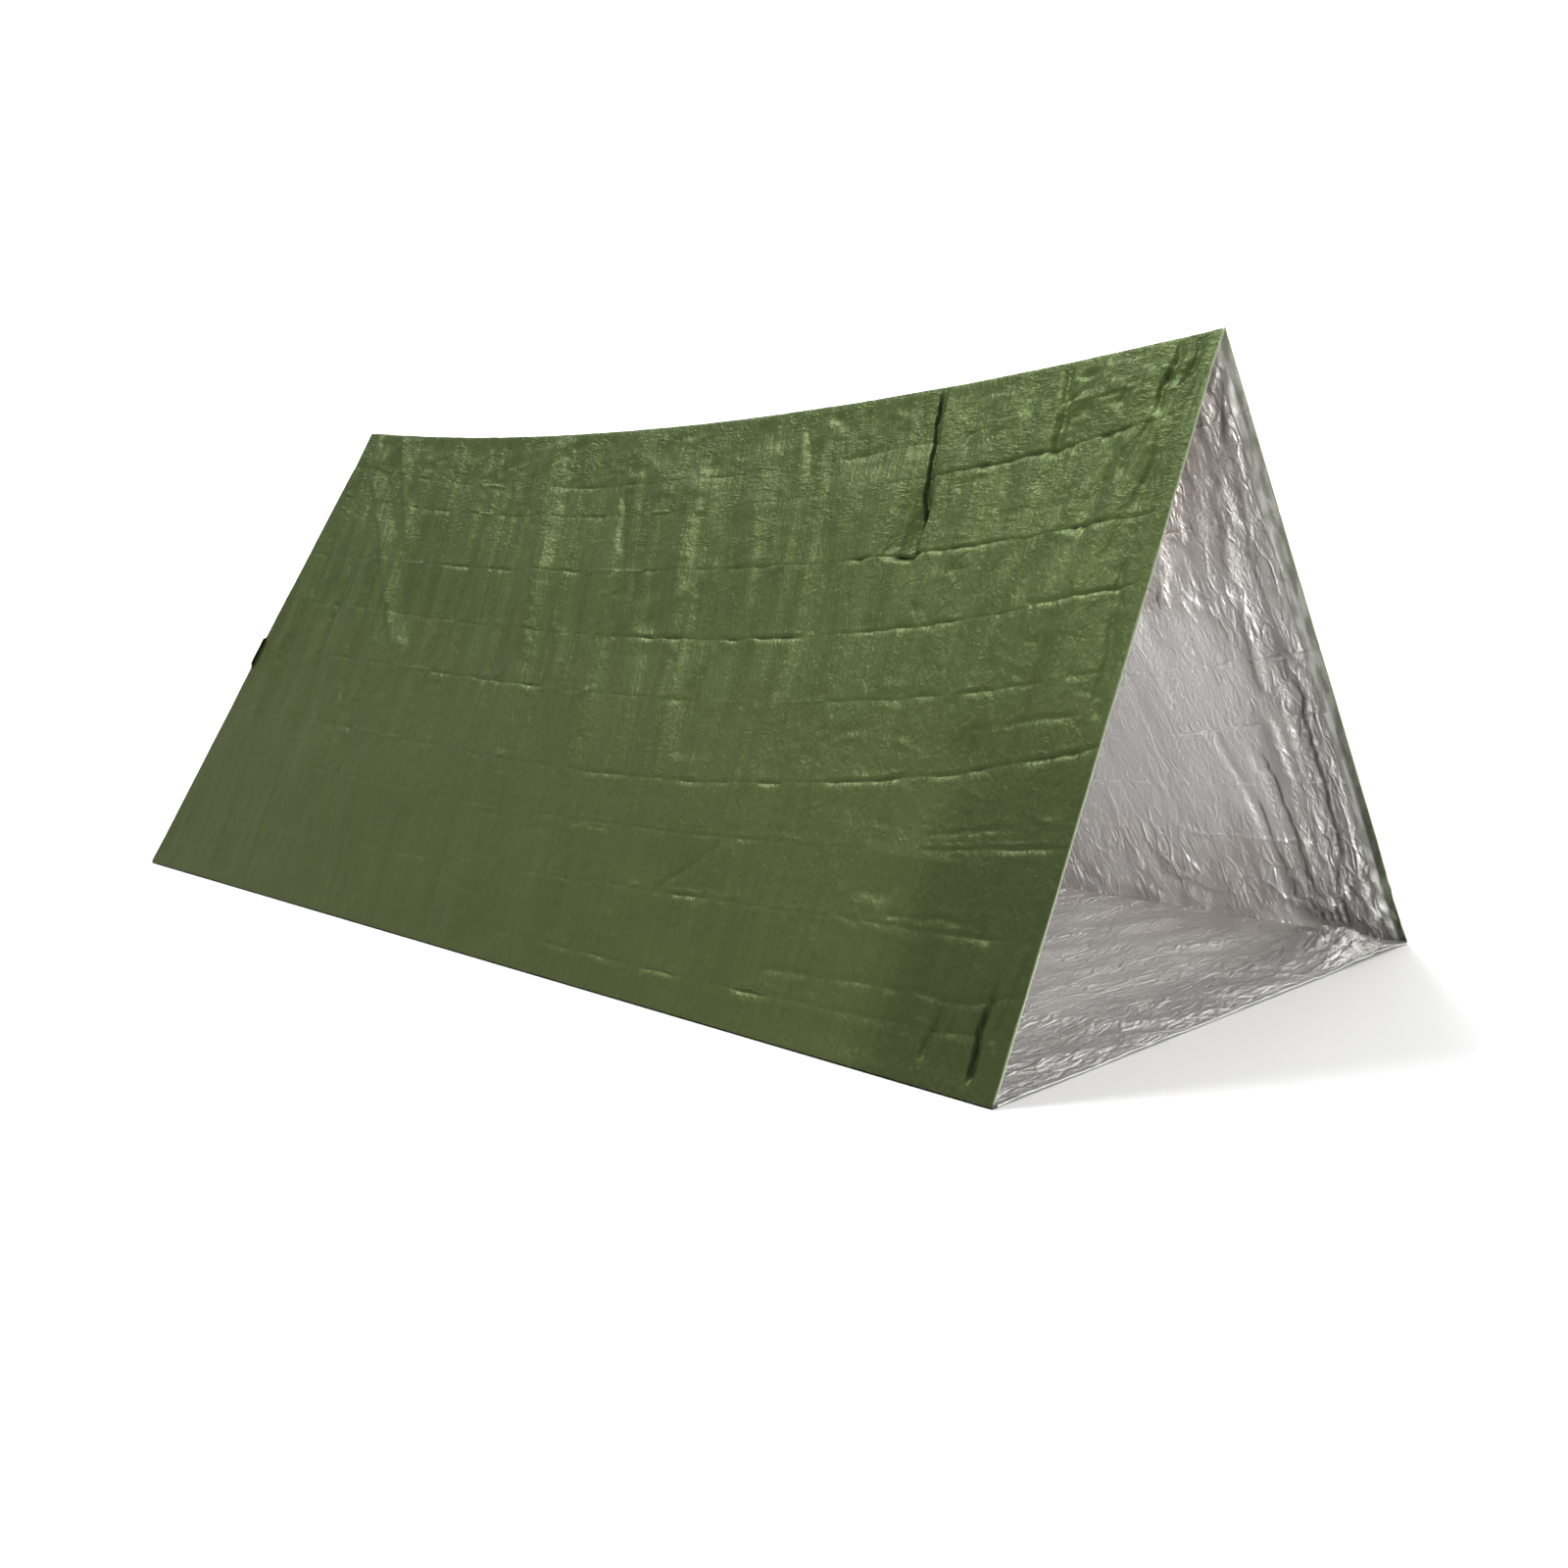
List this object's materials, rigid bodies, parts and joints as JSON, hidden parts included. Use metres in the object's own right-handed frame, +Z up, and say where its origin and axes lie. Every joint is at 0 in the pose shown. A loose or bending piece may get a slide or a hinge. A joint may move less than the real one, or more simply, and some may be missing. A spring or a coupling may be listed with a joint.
{
  "type": "emergency tube tent",
  "caption": "Ridge-shaped emergency tube tent of laminated film, olive outside and aluminised inside, open at its ends, that folds flat along its lengthwise creases.",
  "frame": {"origin": "middle of the floor, on the ground under it", "axes": "+Z up, +Y along the tent from the front opening to the rear one, +X across it from the near wall to the far wall"},
  "size_m": [0.9996, 2.1, 0.88],
  "materials": {
    "outer_film": "satin olive film, creased from packing",
    "inner_film": "crinkled aluminised film",
    "hem_film": "aluminised film, doubled and welded"
  },
  "bodies": {
    "floor": {"floor_outer_film": "outer_film", "floor_inner_film": "inner_film", "floor_front_hem": "hem_film", "floor_rear_hem": "hem_film", "tube_lap_seam": "hem_film"},
    "near_lower_wall": {"near_lower_wall_outer_film": "outer_film", "near_lower_wall_inner_film": "inner_film", "near_lower_wall_front_hem": "hem_film", "near_lower_wall_rear_hem": "hem_film"},
    "near_upper_wall": {"near_upper_wall_outer_film": "outer_film", "near_upper_wall_inner_film": "inner_film", "near_upper_wall_front_hem": "hem_film", "near_upper_wall_rear_hem": "hem_film"},
    "far_upper_wall": {"far_upper_wall_outer_film": "outer_film", "far_upper_wall_inner_film": "inner_film", "far_upper_wall_front_hem": "hem_film", "far_upper_wall_rear_hem": "hem_film"},
    "far_lower_wall": {"far_lower_wall_outer_film": "outer_film", "far_lower_wall_inner_film": "inner_film", "far_lower_wall_front_hem": "hem_film", "far_lower_wall_rear_hem": "hem_film"}
  },
  "joints": [
    {"name": "tube_fold", "type": "hinge", "parent": "floor", "child": "near_lower_wall", "pos_m": [-0.5, 0, 0.00095], "axis": [0, -1, 0], "range_deg": [0, 114.3]},
    {"name": "near_wall_crease", "type": "hinge", "parent": "near_lower_wall", "child": "near_upper_wall", "pos_m": [-0.37138, 0, 0.22063], "axis": [0, -1, 0], "range_deg": [-170.2, 0]},
    {"name": "ridge_crease", "type": "hinge", "parent": "near_upper_wall", "child": "far_upper_wall", "pos_m": [0, 0, 0.88], "axis": [0, -1, 0], "range_deg": [0, 111.7]},
    {"name": "far_wall_crease", "type": "hinge", "parent": "far_upper_wall", "child": "far_lower_wall", "pos_m": [0.37138, 0, 0.22063], "axis": [0, -1, 0], "range_deg": [-170.2, 0]}
  ],
  "couplings": [
    {"joint": "near_wall_crease", "follows": "tube_fold", "ratio": -1.4885},
    {"joint": "ridge_crease", "follows": "tube_fold", "ratio": 0.977},
    {"joint": "far_wall_crease", "follows": "tube_fold", "ratio": -1.4885}
  ]
}
